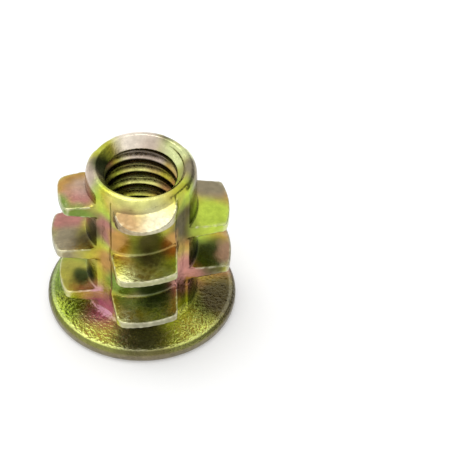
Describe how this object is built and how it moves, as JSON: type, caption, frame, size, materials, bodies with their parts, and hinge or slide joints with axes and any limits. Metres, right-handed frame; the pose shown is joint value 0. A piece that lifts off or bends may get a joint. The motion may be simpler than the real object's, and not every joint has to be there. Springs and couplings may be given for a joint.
{
  "type": "threaded insert nut",
  "caption": "Flanged insert nut for timber with a hexagon socket, a tapped bore and a coarse interrupted outer thread.",
  "frame": {"origin": "centre of the flange's outer face, on the axis of the tapped bore", "axes": "+Z along the axis from the flange to the mouth of the tube; Y is the draw direction of the die, through two columns of blades, and X lies in its parting plane"},
  "size_m": [0.0142, 0.0142, 0.0134],
  "materials": {
    "zinc_yellow": "yellow iridescent chromate over zinc, satin with fine cast grain"
  },
  "bodies": {
    "root": {"insert_nut": "zinc_yellow"}
  },
  "joints": []
}
